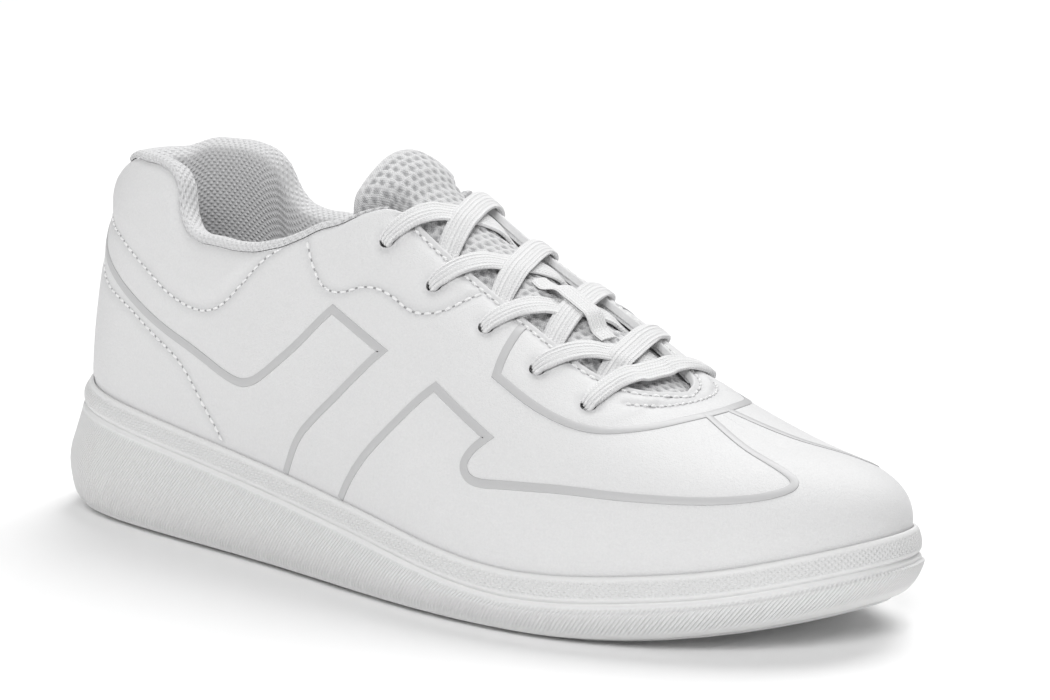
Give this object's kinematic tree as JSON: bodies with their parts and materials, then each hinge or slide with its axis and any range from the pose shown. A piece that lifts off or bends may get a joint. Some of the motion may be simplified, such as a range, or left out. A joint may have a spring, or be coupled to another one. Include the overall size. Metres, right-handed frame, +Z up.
{
  "type": "court shoe",
  "caption": "Low lace-up court shoe for the right foot: white upper with grey inlaid lines, padded collar, mesh tongue and a rubber cup sole.",
  "frame": {"origin": "centre of the bounding box on the ground under the tread", "axes": "+X from heel to toe, +Y to the inner side of the foot, +Z up from the ground"},
  "size_m": [0.3, 0.1069, 0.1201],
  "materials": {
    "cup_sole": "matte moulded rubber, fine ribbed wall",
    "tread_heel": "matte moulded rubber",
    "tread_forefoot": "matte moulded rubber",
    "midsole_core": "closed-cell foam",
    "shank": "moulded stiffener",
    "lasting_board": "pressed fibre board",
    "footbed": "moulded foam",
    "footbed_cover": "brushed knit",
    "vamp": "smooth microfibre with a fine grain",
    "quarter_lateral": "smooth microfibre with a fine grain",
    "quarter_medial": "smooth microfibre with a fine grain",
    "back_strip": "smooth microfibre with a fine grain",
    "eyestay_lateral": "woven reinforcement",
    "eyestay_medial": "woven reinforcement",
    "toe_puff": "thin thermoformed sheet",
    "heel_stiffener": "thermoformed sheet",
    "collar_foam": "soft open foam",
    "collar_lining": "padded waffle mesh",
    "quarter_lining_lateral": "brushed mesh",
    "quarter_lining_medial": "brushed mesh",
    "vamp_lining": "brushed mesh",
    "throat_patch": "woven reinforcement",
    "tongue_mesh": "spacer mesh with round holes",
    "tongue_foam": "soft open foam",
    "tongue_lining": "brushed mesh",
    "lace_keeper": "woven tape",
    "lace": "flat woven cord",
    "stripe_rear_lateral": "thin grey film",
    "stripe_front_lateral": "thin grey film",
    "stripe_front_medial": "thin grey film",
    "stripe_throat": "thin grey film"
  },
  "bodies": {
    "shoe": {"cup_sole": "cup_sole", "tread_heel": "tread_heel", "tread_forefoot": "tread_forefoot", "midsole_core": "midsole_core", "shank": "shank", "lasting_board": "lasting_board", "vamp": "vamp", "quarter_lateral": "quarter_lateral", "quarter_medial": "quarter_medial", "back_strip": "back_strip", "eyestay_lateral": "eyestay_lateral", "eyestay_medial": "eyestay_medial", "toe_puff": "toe_puff", "heel_stiffener": "heel_stiffener", "collar_foam": "collar_foam", "collar_lining": "collar_lining", "quarter_lining_lateral": "quarter_lining_lateral", "quarter_lining_medial": "quarter_lining_medial", "vamp_lining": "vamp_lining", "throat_patch": "throat_patch", "lace_keeper": "lace_keeper", "lace": "lace", "stripe_rear_lateral": "stripe_rear_lateral", "stripe_front_lateral": "stripe_front_lateral", "stripe_front_medial": "stripe_front_medial", "stripe_throat": "stripe_throat"},
    "tongue": {"tongue_mesh": "tongue_mesh", "tongue_foam": "tongue_foam", "tongue_lining": "tongue_lining"},
    "insole": {"footbed": "footbed", "footbed_cover": "footbed_cover"}
  },
  "joints": [
    {"name": "tongue_swing", "type": "hinge", "parent": "shoe", "child": "tongue", "pos_m": [0.094, 0.006, 0.0505], "axis": [0, 1, 0], "range_deg": [-7, 0]},
    {"name": "insole_lift", "type": "hinge", "parent": "shoe", "child": "insole", "pos_m": [0.138, 0.008, 0.0215], "axis": [0, 1, 0], "range_deg": [0, 3]}
  ]
}
